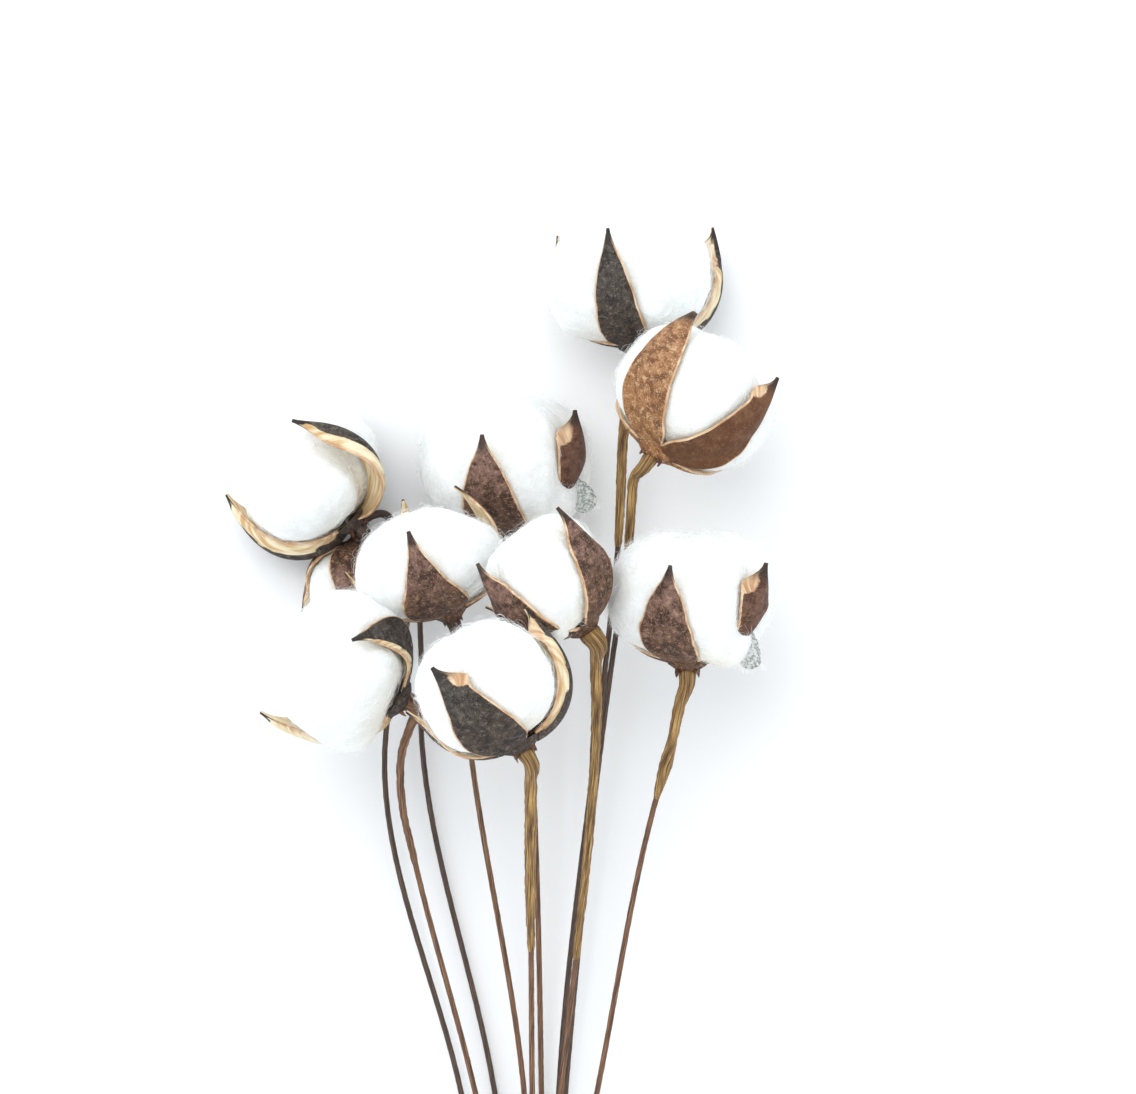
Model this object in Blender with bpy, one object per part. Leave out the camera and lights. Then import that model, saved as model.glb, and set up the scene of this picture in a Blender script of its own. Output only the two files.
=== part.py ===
"""A bunch of ten dried cotton stems, lying on a table.

Each stem carries one open boll. A boll is white lint in soft lobes, held by a brown bur: a
small receptacle with four or five pointed valves that lie in the grooves between the lobes.
Under the bur comes a short wrapped stalk and then a thin wire stem, which runs to the cut end
beside the others.

X runs across the bunch, +Y along the stems towards the bolls and +Z up from the table. The
origin is on the table, under the middle of the bunch.
"""

import math
from dataclasses import dataclass

import bmesh
import bpy
import numpy as np
from mathutils import Vector

MM = 0.001

# Driving dimensions, in millimetres.
GAP = 0.45  # air between a stalk and its stem
STALK_GAP = 0.6  # air between a bur and its stalk
RECEPTACLE_FOOT = -1.6  # height of the receptacle's foot, from the boll's base
LINT_GAP = 1.35  # air between the lint and the inside of a valve
LINT_FLOOR = 3.4  # height of the lint's lowest point above the boll's base
FULL_HALF_HEIGHT = 20.0  # half height of a boll whose small parts have their full size
LINT_FULLNESS = 2.3  # exponent of the lint's outline: 2 is an ellipse, more is plumper
GROOVE_DEPTH = 0.20  # of the lint's radius, under each valve
GROOVE_WIDTH = 21.0  # degrees of azimuth from its middle to half way up its wall
GROOVE_FLOOR = 0.6  # edge of its flat floor and top of its wall, as shares of the width
GROOVE_WALL = 1.25
CROWN_DIMPLE = 0.10  # of the radius, where the lobes meet on top
LOBE_UNEVENNESS = 0.035  # of the radius
VALVE_EDGE = 0.8  # thickness of a valve at its edge
VALVE_BACK = 2.0  # thickness along its middle
SLIM_HALF_WIDTH = 3.0  # half width under which a valve thins out towards its beak
VALVE_ROOT_POLAR = 13.0  # degrees from the boll's base, where the valves leave the receptacle
BEAK_SHARE = 0.78  # where along a valve the beak starts
BEAK_FLARE = 3.2  # how far the beak curves out past the rest of the valve
GROOVE_BRIDGE = 0.15  # how far a valve rises out of its groove, as a share of the groove's depth
RECEPTACLE = ((-0.6, 4.2), (0.6, 6.0))  # heights and radii where the receptacle widens
RECEPTACLE_FOOT_RADIUS = 2.3
RECEPTACLE_TOP_RADIUS = 6.6
# Height, radius, half width and thickness of a dried calyx tip, from its root to its end.
BRACT = ((0.6, 3.2, 2.6, 1.6), (-1.5, 3.9, 2.1, 1.0), (-3.2, 4.1, 0.8, 0.7))
BRACT_RISE = 0.2  # by which its upper side stands further out
STALK_TOP_RADII = (2.3, 2.1)
STEM_RADIUS = 0.95
GATHER_Y = -175.0  # where the stems lie side by side
GATHER_X = 12.0
STEM_SPACING = 2 * STEM_RADIUS + 0.5
BOTTOM_STEMS = 4  # stems that lie on the table; each row above has one fewer
APPROACH_LENGTH = 24.0  # over which the stems bend into line
APPROACH_SHARE = 0.10  # of their distance from the line that is left at its start
STALK_LEAD = 3.0  # straight run of a stalk under its bur

# How finely each shape is divided.
LINT_ROWS = 8
VALVE_STATIONS = 7
VALVE_COLUMNS = 3
RECEPTACLE_SIDES = 10
STALK_SIDES = 7
STEM_SIDES = 6
STALK_STEPS = 2  # between two points of a stalk's route
STEM_STEP = 26.0  # rough distance between a stem's sections

# Outlines of the valves: half widths, as shares of the widest, at shares of a valve's length.
OUTLINE_SHARES = (0.0, 0.12, 0.35, 0.55, 0.72, 0.84, 0.93, 1.0)
OUTLINES = {
    "blade": (0.50, 0.88, 1.0, 0.93, 0.72, 0.42, 0.14, 0.04),
    "spade": (0.50, 0.96, 1.0, 0.77, 0.48, 0.25, 0.11, 0.04),
    "blunt": (0.50, 0.84, 1.0, 0.98, 0.82, 0.60, 0.30, 0.08),
    "broad": (0.40, 0.60, 0.96, 1.0, 0.78, 0.46, 0.15, 0.04),
    "leaf": (0.32, 0.32, 0.34, 0.58, 1.0, 0.68, 0.18, 0.04),
}
WING_SHARE = 6 / 7  # where along a valve its margin flares into a wing
WING_SPREAD = 0.07
DENT_WIDTH = 38.0  # degrees round the boll over which the lint keeps back from a valve

LINT_COLOUR = (0.91, 0.92, 0.90)
BUR_COLOURS = {
    "brown": (0.20, 0.12, 0.085),
    "charcoal": (0.09, 0.078, 0.072),
    "copper": (0.34, 0.19, 0.10),
}
STALK_COLOUR = (0.33, 0.21, 0.09)
STEM_COLOUR = (0.19, 0.11, 0.07)


@dataclass
class Valve:
    """One segment of a bur, placed round the boll."""

    azimuth: float  # degrees round the boll, 0 facing up and positive to the right of its axis
    reach: float = 122.0  # polar angle of the tip, 0 at the base and 180 at the lint's top
    width: float = 7.5  # half of its widest, mm
    lean: float = 0.0  # degrees that the tip swings sideways
    gape: float = 1.5  # mm that it stands off the lint below the beak
    turn: float = 0.0  # degrees that it is turned to bring its inside up
    hollow: float = 0.0  # mm that its middle stands out past its margins, like a boat
    wing: float = 0.0  # mm that a margin flares below the beak, negative on the left
    dent: float = 0.0  # share of the lint's radius that the lint keeps back from it
    form: str = "blade"


@dataclass
class Boll:
    """One boll with its stalk and stem. Lengths are in millimetres."""

    name: str
    base: tuple  # where the stalk meets the bur
    axis: tuple  # the way the boll points
    half_width: float
    half_height: float
    valves: list
    stalk: list  # points that the stalk passes after the base, and its radius there
    stem: list  # points that the stem passes before the gathering
    slot: tuple  # column and row in the gathered stems
    end_y: float
    bracts: tuple = (60.0, 180.0, 300.0)  # azimuths of the dried calyx tips
    phase: float = 0.0  # sets where this boll's lobes are uneven
    bur: str = "brown"


BOLLS = [
    Boll(
        "top", (44, 171, 24.5), (-0.08, 1.0, 0.0), 27.0, 20.5,
        [
            Valve(-15, 120, 7.0), Valve(110, 116, 6.5, gape=2.5, hollow=3.0, wing=-7.5, dent=0.12),
            Valve(160), Valve(-112),
        ],
        [(41.5, 160, 23, 1.8), (39.4, 146, 21, 1.7), (38.4, 125, 18.5, 1.6), (37.6, 109, 17, 1.3)],
        [(34, 74, 14), (18.4, -68, 6)], (3, 0), -209, phase=0.3, bur="charcoal",
    ),
    Boll(
        "upper_right", (48.5, 137, 55.6), (0.55, 0.80, -0.22), 26.5, 20.0,
        [
            Valve(-38, 132, 8.8, lean=-6, form="blunt"), Valve(46, 126, 8.2, lean=8, wing=-3.0),
            Valve(132, 112), Valve(-134, 104),
        ],
        [(42.8, 130, 52, 1.7), (41.6, 120, 47, 1.6), (40.6, 105, 42, 1.4)],
        [(36, 74, 34), (20.6, -68, 15)], (2, 1), -205, phase=1.9, bur="copper",
    ),
    Boll(
        "upper_middle", (4, 112, 23.1), (-0.10, 1.0, 0.0), 27.5, 20.5,
        [
            Valve(-20, 106, 8.6, lean=6), Valve(54, 116, 8.6, lean=4, wing=-4.5, form="leaf"),
            Valve(138), Valve(-118, 104),
        ],
        [(5.5, 100, 23, 1.8), (6.5, 86, 21.5, 1.6), (8, 70, 20, 1.3)],
        [(10.5, 20, 15), (12.6, -68, 7)], (2, 0), -212, phase=3.1,
    ),
    Boll(
        "upper_left", (-47.5, 114.5, 22.6), (-0.70, 0.71, 0.0), 24.5, 18.0,
        [
            Valve(56, 126, 7.4, lean=-32, gape=2.0, turn=66, hollow=3.0, dent=0.10),
            Valve(-110, 122, 7.6, gape=3.0, hollow=5.0, dent=0.14), Valve(130), Valve(-160, 108),
        ],
        [(-40, 107, 22.4, 1.8), (-32.6, 99.5, 20, 1.6), (-30.6, 87, 16, 1.3)],
        [(-33.5, 70, 13), (-37.3, 51, 11), (-14, -68, 5.4)], (0, 0), -214, phase=4.4, bur="charcoal",
    ),
    Boll(
        "small", (-46.5, 109.4, 13.0), (-0.1, -1.0, 0.0), 14.5, 12.5,
        [Valve(10, 112, 6.0), Valve(-104, 120, 4.5, gape=2.0), Valve(104), Valve(180, width=5.0)],
        [(-44.5, 116.2, 12.3, 1.4), (-39, 118, 11, 1.3), (-33, 111, 9, 1.2)],
        [(-28.2, 95, 7), (-26.6, 75, 5.6), (-26.6, 50, 4.6), (-3, -68, 2.6)], (1, 0), -207, phase=5.2,
    ),
    Boll(
        "middle", (-16, 85, 57.0), (-0.33, 0.94, 0.0), 24.2, 16.5,
        [
            Valve(-12, 112, 9.2, lean=4, form="spade"), Valve(124, 142, 6.8, lean=-24, gape=2.0),
            Valve(-168, 150, 6.4), Valve(-98, 100, 5.6),
        ],
        [(-13.8, 75, 54, 2.2), (-13, 63, 50, 1.8), (-11, 50, 45.5, 1.3)],
        [(-9.8, 40, 42.5), (6.9, -68, 15)], (1, 1), -203, phase=0.9,
    ),
    Boll(
        "middle_right", (27.3, 81, 77.2), (-0.6, 0.8, 0.0), 19.0, 18.0,
        [
            Valve(-56, 132, 9.2, form="broad"), Valve(52, 128, 8.4), Valve(-108, 100, 5.4),
            Valve(132, 112, 6.4), Valve(-164, 104, 6.2),
        ],
        [(30.2, 71, 73, 1.9), (30.4, 58, 68, 1.8), (28.5, 20, 52, 1.5), (24, -24, 37, 1.2)],
        [(19, -68, 23)], (0, 2), -211, phase=2.6,
    ),
    Boll(
        "right", (59.5, 69, 58), (0.03, 1.0, 0.0), 26.5, 20.5,
        [
            Valve(-24, 107, 8.4, lean=10), Valve(54, 110, 8.6, lean=4, wing=-4.5, form="leaf"),
            Valve(140), Valve(-112, 110),
        ],
        [(57.4, 58, 56, 2.0), (54.8, 46, 53, 1.6), (52.5, 37, 50, 2.2), (50, 28, 47, 1.2)],
        [(30.9, -68, 23)], (1, 2), -206, phase=3.8,
    ),
    Boll(
        "lower_left", (-31.2, 58, 70.8), (-0.87, 0.49, 0.0), 23.5, 20.0,
        [
            Valve(80, 90, 7.4, lean=-60, gape=2.5, turn=20),
            Valve(-124, 120, 6.6, lean=30, gape=2.0, hollow=2.0, turn=20, dent=0.10),
            Valve(136, 96), Valve(-172),
        ],
        [(-28.5, 51.0, 68, 1.5), (-31.6, 42, 64, 1.3), (-31.6, 24, 56, 1.2), (-28, 7, 48.4, 1.1)],
        [(-9.1, -68, 19)], (0, 1), -201, phase=4.9, bur="charcoal",
    ),
    Boll(
        "front", (7, 44, 103.4), (-0.49, 0.87, 0.0), 23.5, 20.0,
        [
            Valve(-20, 118, 8.6, lean=-10, wing=4.0),
            Valve(108, 122, 7.4, gape=2.0, hollow=4.0, wing=-3.0, dent=0.15),
            Valve(-100, 100), Valve(142, 96), Valve(-158),
        ],
        [(9.6, 34, 98, 2.0), (9.4, 18, 90, 1.9), (9.3, -2, 79, 1.7), (9.5, -20, 68, 1.2)],
        [(9.8, -68, 44)], (0, 3), -213, phase=1.4, bur="charcoal",
    ),
]


def smooth_route(points, steps):
    """Points along a smooth curve through the given ones, with so many steps in each span."""
    points = [np.array(point, float) for point in points]
    chords = [after - before for before, after in zip(points, points[1:])]
    lengths = [np.linalg.norm(chord) for chord in chords]
    headings = [chord / length for chord, length in zip(chords, lengths)]
    tangents = [headings[0]]
    for k in range(1, len(chords)):
        before, after = lengths[k - 1], lengths[k]
        tangents.append((headings[k - 1] * after + headings[k] * before) / (before + after))
    tangents.append(headings[-1])
    found = [points[0]]
    for k, count in enumerate(steps):
        for step in range(1, count + 1):
            t = step / count
            found.append(
                (1 - t) ** 2 * (1 + 2 * t) * points[k]
                + t**2 * (3 - 2 * t) * points[k + 1]
                + lengths[k] * t * (1 - t) * ((1 - t) * tangents[k] - t * tangents[k + 1])
            )
    return found


class Frame:
    """A boll's own directions: up its axis, towards the viewer above and to the right."""

    def __init__(self, boll):
        self.base = np.array(boll.base, float)
        self.axis = np.array(boll.axis, float)
        self.axis /= np.linalg.norm(self.axis)
        front = np.array((0.0, 0.0, 1.0)) - self.axis[2] * self.axis
        self.front = front / np.linalg.norm(front)
        self.right = np.cross(self.axis, self.front)
        self.centre = self.base + self.axis * (LINT_FLOOR + boll.half_height)

    def point(self, along, radius, azimuth):
        """World point at a height above the base, a distance from the axis and an azimuth."""
        return (
            self.base
            + along * self.axis
            + radius * (math.cos(azimuth) * self.front + math.sin(azimuth) * self.right)
        )

    def direction(self, azimuth, polar):
        """Unit vector from the lint's centre, polar angle 0 pointing to the base."""
        side = math.cos(azimuth) * self.front + math.sin(azimuth) * self.right
        return math.sin(polar) * side - math.cos(polar) * self.axis

    def angles(self, point):
        """Azimuth, polar angle and distance of a world point from the lint's centre."""
        offset = point - self.centre
        distance = np.linalg.norm(offset)
        azimuth = math.atan2(offset @ self.right, offset @ self.front)
        return azimuth, math.acos(max(-1.0, min(1.0, -(offset @ self.axis) / distance))), distance


def groove_middle(valve, polar):
    """Azimuth of the middle of a valve's groove at a polar angle; it leans with the valve."""
    share = (math.degrees(polar) - VALVE_ROOT_POLAR) / (valve.reach - VALVE_ROOT_POLAR)
    return math.radians(valve.azimuth + valve.lean * min(1.0, max(0.0, share)) ** 2)


def lint_radius(boll, azimuth, polar):
    """Distance of the lint's surface from its centre, in a direction."""
    across = abs(math.sin(polar)) / boll.half_width
    along = abs(math.cos(polar)) / boll.half_height
    radius = (across**LINT_FULLNESS + along**LINT_FULLNESS) ** (-1 / LINT_FULLNESS)
    groove, dent = 0.0, 0.0
    for valve in boll.valves:
        apart = math.remainder(azimuth - groove_middle(valve, polar), math.tau)
        groove = max(groove, math.exp(-((apart / math.radians(GROOVE_WIDTH)) ** 4)))
        dent = max(dent, valve.dent * math.exp(-((apart / math.radians(DENT_WIDTH)) ** 2)))
    groove *= GROOVE_DEPTH * (0.75 + 0.25 * math.cos(polar))
    groove = (groove + dent) * math.sin(polar) ** 1.5
    dimple = CROWN_DIMPLE * math.exp(-(((math.pi - polar) / 0.5) ** 2))
    uneven = math.sin(2 * azimuth + boll.phase) * math.cos(1.5 * polar + 2 * boll.phase)
    uneven += math.sin(azimuth + 3 * boll.phase)
    return radius * (1 - groove - dimple + LOBE_UNEVENNESS * uneven * math.sin(polar))


def valve_half_width(valve, share):
    """Half width of a valve at a share of its length."""
    return valve.width * np.interp(share, OUTLINE_SHARES, OUTLINES[valve.form])


def valve_spine(boll, frame, valve, share):
    """Point on the middle of a valve's inside, at a share of its length."""
    root, tip = math.radians(VALVE_ROOT_POLAR), math.radians(valve.reach)
    polar = root + (tip - root) * share
    azimuth = math.radians(valve.azimuth + valve.lean * share**2)
    edge = math.radians(GROOVE_WIDTH)
    lint = max(lint_radius(boll, azimuth + side, polar) for side in (-edge, 0.0, edge))
    near = lint_radius(boll, azimuth, polar)
    bridged = near + (lint - near) * GROOVE_BRIDGE * math.sin(polar)
    beak = max(0.0, (share - BEAK_SHARE) / (1 - BEAK_SHARE))
    off = LINT_GAP + valve.gape * share**2 + BEAK_FLARE * beak**1.6
    off += valve.dent * boll.half_width * math.sin(polar) ** 1.5
    return frame.centre + (bridged + off) * frame.direction(azimuth, polar)


def pushed_out(boll, frame, point, clearance):
    """The point, moved away from the lint's centre until it is clear of the lint."""
    azimuth, polar, distance = frame.angles(point)
    least = lint_radius(boll, azimuth, polar) + clearance
    if distance >= least:
        return point
    return frame.centre + (point - frame.centre) * least / distance


def valve_grid(boll, frame, valve, stations, columns):
    """Two grids of points, the inside and the outside of a valve."""
    shares = [index / stations for index in range(stations + 1)]
    spine = [valve_spine(boll, frame, valve, share) for share in shares]
    inside, outside = [], []
    for index, share in enumerate(shares):
        ahead, behind = spine[min(index + 1, stations)], spine[max(index - 1, 0)]
        along = (ahead - behind) / np.linalg.norm(ahead - behind)
        radial = spine[index] - frame.centre
        out = radial - (radial @ along) * along
        out /= np.linalg.norm(out)
        side = np.cross(along, out)
        if side @ frame.direction(math.radians(valve.azimuth + 90), math.pi / 2) < 0:
            side = -side
        turn = math.radians(valve.turn) * math.sin(math.pi * min(1.0, 0.15 + share))
        turn *= -math.copysign(1.0, math.sin(math.radians(valve.azimuth)))
        across = math.cos(turn) * side + math.sin(turn) * out
        outward = math.cos(turn) * out - math.sin(turn) * side
        half = valve_half_width(valve, share)
        bow = 0.5 * half**2 / boll.half_width
        bulge = valve.hollow * math.sin(math.pi * (0.1 + 0.9 * share))
        flare = abs(valve.wing) * math.exp(-(((share - WING_SHARE) / WING_SPREAD) ** 2))
        wing_side = math.copysign(1.0, valve.wing)
        rows = ([], [])
        for column in range(columns + 1):
            v = 2 * column / columns - 1
            wing = flare * max(0.0, v * wing_side)
            lift = bulge * (1 - v**2) - bow * v**2
            point = spine[index] + v * half * across + lift * outward
            point = point + wing_side * wing * frame.right
            point = pushed_out(boll, frame, point, LINT_GAP)
            thick = VALVE_EDGE + (VALVE_BACK - VALVE_EDGE) * (1 - v**2)
            thick = VALVE_EDGE + (thick - VALVE_EDGE) * min(1.0, half / SLIM_HALF_WIDTH)
            rows[0].append(point)
            rows[1].append(point + thick * outward)
        inside.append(rows[0])
        outside.append(rows[1])
    return inside, outside


def mesh_object(name, points, faces):
    """A new object from points in millimetres, pressed flat where it meets the table."""
    mesh = bpy.data.meshes.new(name)
    mesh.from_pydata([Vector((x, y, max(z, 0.0))) * MM for x, y, z in points], [], faces)
    mesh.validate()
    work = bmesh.new()
    work.from_mesh(mesh)
    bmesh.ops.triangulate(work, faces=work.faces[:])
    bmesh.ops.recalc_face_normals(work, faces=work.faces[:])
    work.to_mesh(mesh)
    work.free()
    made = bpy.data.objects.new(name, mesh)
    bpy.context.scene.collection.objects.link(made)
    return made


def ring_faces(first, second):
    """Quads between two rings of point indices."""
    count = len(first)
    return [
        (first[i], first[(i + 1) % count], second[(i + 1) % count], second[i])
        for i in range(count)
    ]


def stacked_rings(name, rings):
    """A closed object from rings of points, with a flat cap at each end."""
    points = [point for ring in rings for point in ring]
    sides = len(rings[0])
    index = [list(range(k * sides, (k + 1) * sides)) for k in range(len(rings))]
    faces = [index[0][::-1], index[-1]]
    for low, high in zip(index, index[1:]):
        faces += ring_faces(low, high)
    return mesh_object(name, points, faces)


def lint_columns(boll, polar):
    """Azimuths of the lint's columns at a polar angle: they follow the grooves."""
    middles = []
    for valve in sorted(boll.valves, key=lambda valve: valve.azimuth % 360.0):
        swing = groove_middle(valve, polar) - math.radians(valve.azimuth)
        middles.append(math.radians(valve.azimuth % 360.0) + swing)
    columns = []
    for first, last in zip(middles, middles[1:] + [middles[0] + math.tau]):
        floor = math.radians(GROOVE_FLOOR * GROOVE_WIDTH)
        wall = math.radians(GROOVE_WALL * GROOVE_WIDTH)
        columns += [first, first + floor, first + wall]
        columns += [(first + last) / 2, last - wall, last - floor]
    return columns


def build_lint(boll, frame):
    """The white lint: soft lobes that swell between the valves."""
    points = [frame.centre + lint_radius(boll, 0.0, 0.0) * frame.direction(0.0, 0.0)]
    count = len(lint_columns(boll, 0.0))
    for row in range(1, LINT_ROWS):
        polar = math.pi * row / LINT_ROWS
        for azimuth in lint_columns(boll, polar):
            points.append(
                frame.centre + lint_radius(boll, azimuth, polar) * frame.direction(azimuth, polar)
            )
    points.append(frame.centre + lint_radius(boll, 0.0, math.pi) * frame.direction(0.0, math.pi))
    rings = [[1 + row * count + column for column in range(count)] for row in range(LINT_ROWS - 1)]
    faces = []
    for low, high in zip(rings, rings[1:]):
        faces += ring_faces(low, high)
    last = len(points) - 1
    for column in range(count):
        after = (column + 1) % count
        faces.append((0, rings[0][after], rings[0][column]))
        faces.append((last, rings[-1][column], rings[-1][after]))
    return mesh_object(f"lint_{boll.name}", points, faces)


def build_valve(boll, frame, valve, name):
    """One pointed valve: a closed boat-shaped blade."""
    inside, outside = valve_grid(boll, frame, valve, VALVE_STATIONS, VALVE_COLUMNS)
    rings = [low + high[::-1] for low, high in zip(inside, outside)]
    return stacked_rings(name, rings)


def build_receptacle(boll, frame):
    """The disc that the valves grow from."""
    size = boll.half_height / FULL_HALF_HEIGHT
    profile = [
        (RECEPTACLE_FOOT, RECEPTACLE_FOOT_RADIUS),
        *((along, radius * size) for along, radius in RECEPTACLE),
        (LINT_FLOOR - LINT_GAP, RECEPTACLE_TOP_RADIUS * size),
    ]
    rings = []
    for along, radius in profile:
        turns = [math.tau * k / RECEPTACLE_SIDES for k in range(RECEPTACLE_SIDES)]
        rings.append([frame.point(along, radius, turn) for turn in turns])
    return stacked_rings(f"receptacle_{boll.name}", rings)


def build_bract(boll, frame, azimuth, name):
    """One dried calyx tip: a thin blade that curls out under the valves."""
    size = boll.half_height / FULL_HALF_HEIGHT
    angle = math.radians(azimuth)
    rings = []
    for along, radius, half, thick in BRACT:
        spread = half / radius
        low, out = along * size, radius * size
        rings.append(
            [
                frame.point(low, out, angle - spread),
                frame.point(low, out, angle + spread),
                frame.point(low + thick, out + BRACT_RISE, angle + spread),
                frame.point(low + thick, out + BRACT_RISE, angle - spread),
            ]
        )
    return stacked_rings(name, rings)


def keep_outer_body(mesh):
    """Fills any hollow that the union sealed and drops any loose scrap: the largest body stays."""
    work = bmesh.new()
    work.from_mesh(mesh)
    left = set(work.verts)
    bodies = []
    while left:
        found = {left.pop()}
        edge = list(found)
        while edge:
            near = {link.other_vert(vert) for vert in edge for link in vert.link_edges} - found
            found |= near
            edge = list(near)
        left -= found
        bodies.append(found)
    largest = max(bodies, key=len)
    bmesh.ops.delete(work, geom=[vert for vert in work.verts if vert not in largest], context="VERTS")
    work.to_mesh(mesh)
    work.free()


def join_by_union(name, pieces):
    """One object from pieces that overlap."""
    body, others = pieces[0], pieces[1:]
    group = bpy.data.collections.new(f"{name}_pieces")
    for other in others:
        group.objects.link(other)
    modifier = body.modifiers.new("join", "BOOLEAN")
    modifier.operation = "UNION"
    modifier.operand_type = "COLLECTION"
    modifier.collection = group
    modifier.solver = "MANIFOLD"
    bpy.context.view_layer.update()
    graph = bpy.context.evaluated_depsgraph_get()
    joined = bpy.data.meshes.new_from_object(body.evaluated_get(graph))
    keep_outer_body(joined)
    body.modifiers.clear()
    body.data = joined
    body.name = name
    for other in others:
        bpy.data.objects.remove(other)
    bpy.data.collections.remove(group)
    return body


def build_bur(boll, frame):
    """The brown bur: receptacle, valves and dried calyx tips, grown together."""
    pieces = [build_receptacle(boll, frame)]
    for number, valve in enumerate(boll.valves):
        pieces.append(build_valve(boll, frame, valve, f"valve_{number}"))
    for number, azimuth in enumerate(boll.bracts):
        pieces.append(build_bract(boll, frame, azimuth, f"bract_{number}"))
    return join_by_union(f"bur_{boll.name}", pieces)


def tube(name, route, radii, sides):
    """A closed tube along a route, with one radius for each of its points."""
    rings = []
    ahead = np.array(route[1]) - np.array(route[0])
    side = np.cross(ahead, (0.0, 0.0, 1.0))
    side /= np.linalg.norm(side)
    for index, point in enumerate(route):
        before, after = route[max(index - 1, 0)], route[min(index + 1, len(route) - 1)]
        along = (after - before) / np.linalg.norm(after - before)
        side = side - (side @ along) * along
        side /= np.linalg.norm(side)
        up = np.cross(side, along)
        rings.append(
            [
                point
                + radii[index] * (math.cos(angle) * side + math.sin(angle) * up)
                for angle in (math.tau * k / sides for k in range(sides))
            ]
        )
    return stacked_rings(name, rings)


def gathered_points(boll):
    """Where a stem bends into line with the others, passes the gathering and ends."""
    column, row = boll.slot
    x = GATHER_X + (column - (BOTTOM_STEMS - 1 - row) / 2) * STEM_SPACING
    z = STEM_RADIUS * math.cos(math.pi / STEM_SIDES) + row * STEM_SPACING * math.sin(math.radians(60))
    from_x, from_y, from_z = boll.stem[-1]
    share = APPROACH_SHARE
    approach = (x + share * (from_x - x), GATHER_Y + APPROACH_LENGTH, z + share * (from_z - z))
    return [approach, (x, GATHER_Y, z), (x, boll.end_y, z)]


def build_stalk_and_stem(boll, frame):
    """The wrapped stalk under the bur and the thin stem that follows it."""
    start = frame.point(RECEPTACLE_FOOT - STALK_GAP, 0.0, 0.0)
    lead = start - STALK_LEAD * frame.axis
    route = [start, lead, *(point[:3] for point in boll.stalk), *boll.stem, *gathered_points(boll)]
    spans = len(boll.stalk) + 1
    steps = [STALK_STEPS] * spans
    for before, after in zip(route[spans:], route[spans + 1 :]):
        steps.append(max(1, round(math.dist(before, after) / STEM_STEP)))
    smooth = smooth_route(route, steps)
    split = spans * STALK_STEPS
    upper, lower = smooth[: split + 1], smooth[split:]
    step = lower[1] - lower[0]
    lower[0] = lower[0] + step / np.linalg.norm(step) * GAP
    given = [*STALK_TOP_RADII, *(point[3] for point in boll.stalk)]
    radii = np.interp(np.arange(split + 1) / STALK_STEPS, range(len(given)), given)
    stalk = tube(f"stalk_{boll.name}", upper, radii, STALK_SIDES)
    stem = tube(f"stem_{boll.name}", lower, [STEM_RADIUS] * len(lower), STEM_SIDES)
    return stalk, stem


def plain_material(name, colour, roughness):
    material = bpy.data.materials.new(name)
    material.use_nodes = True
    shader = material.node_tree.nodes["Principled BSDF"]
    shader.inputs["Base Color"].default_value = (*colour, 1.0)
    shader.inputs["Roughness"].default_value = roughness
    shader.inputs["Metallic"].default_value = 0.0
    return material


def finish(piece, material):
    piece.data.materials.clear()
    piece.data.materials.append(material)
    piece.data.shade_smooth()
    piece.data.set_sharp_from_angle(angle=math.radians(50))


def main():
    for old in list(bpy.data.objects):
        bpy.data.objects.remove(old)
    for boll in BOLLS:
        frame = Frame(boll)
        finish(build_lint(boll, frame), plain_material(f"lint {boll.name}", LINT_COLOUR, 0.95))
        finish(build_bur(boll, frame), plain_material(f"bur {boll.name}", BUR_COLOURS[boll.bur], 0.7))
        stalk, stem = build_stalk_and_stem(boll, frame)
        finish(stalk, plain_material(f"stalk {boll.name}", STALK_COLOUR, 0.6))
        finish(stem, plain_material(f"stem {boll.name}", STEM_COLOUR, 0.6))


main()
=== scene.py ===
"""A bunch of ten dried cotton stems, lying on a pale table.

Each boll is dressed with its own lint, fluff, bur, calyx, stalk and stem, in the places that the
CAD model gives them: the same dimensions and the same rules, divided more finely.
"""

import math
from dataclasses import dataclass

import bpy
import numpy as np
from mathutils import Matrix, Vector, noise


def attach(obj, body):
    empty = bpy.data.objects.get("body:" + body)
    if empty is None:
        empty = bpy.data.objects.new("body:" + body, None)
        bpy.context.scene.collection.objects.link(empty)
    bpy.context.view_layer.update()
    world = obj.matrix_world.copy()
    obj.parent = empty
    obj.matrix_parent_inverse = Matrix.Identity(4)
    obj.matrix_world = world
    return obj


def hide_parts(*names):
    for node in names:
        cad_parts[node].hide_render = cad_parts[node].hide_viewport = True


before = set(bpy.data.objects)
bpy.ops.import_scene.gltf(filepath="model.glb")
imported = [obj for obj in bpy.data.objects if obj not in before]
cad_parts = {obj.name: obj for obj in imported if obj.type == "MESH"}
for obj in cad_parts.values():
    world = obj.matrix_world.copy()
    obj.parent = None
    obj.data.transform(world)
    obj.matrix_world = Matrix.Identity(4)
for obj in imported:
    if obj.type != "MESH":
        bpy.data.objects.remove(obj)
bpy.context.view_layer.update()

MM = 0.001

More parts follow.
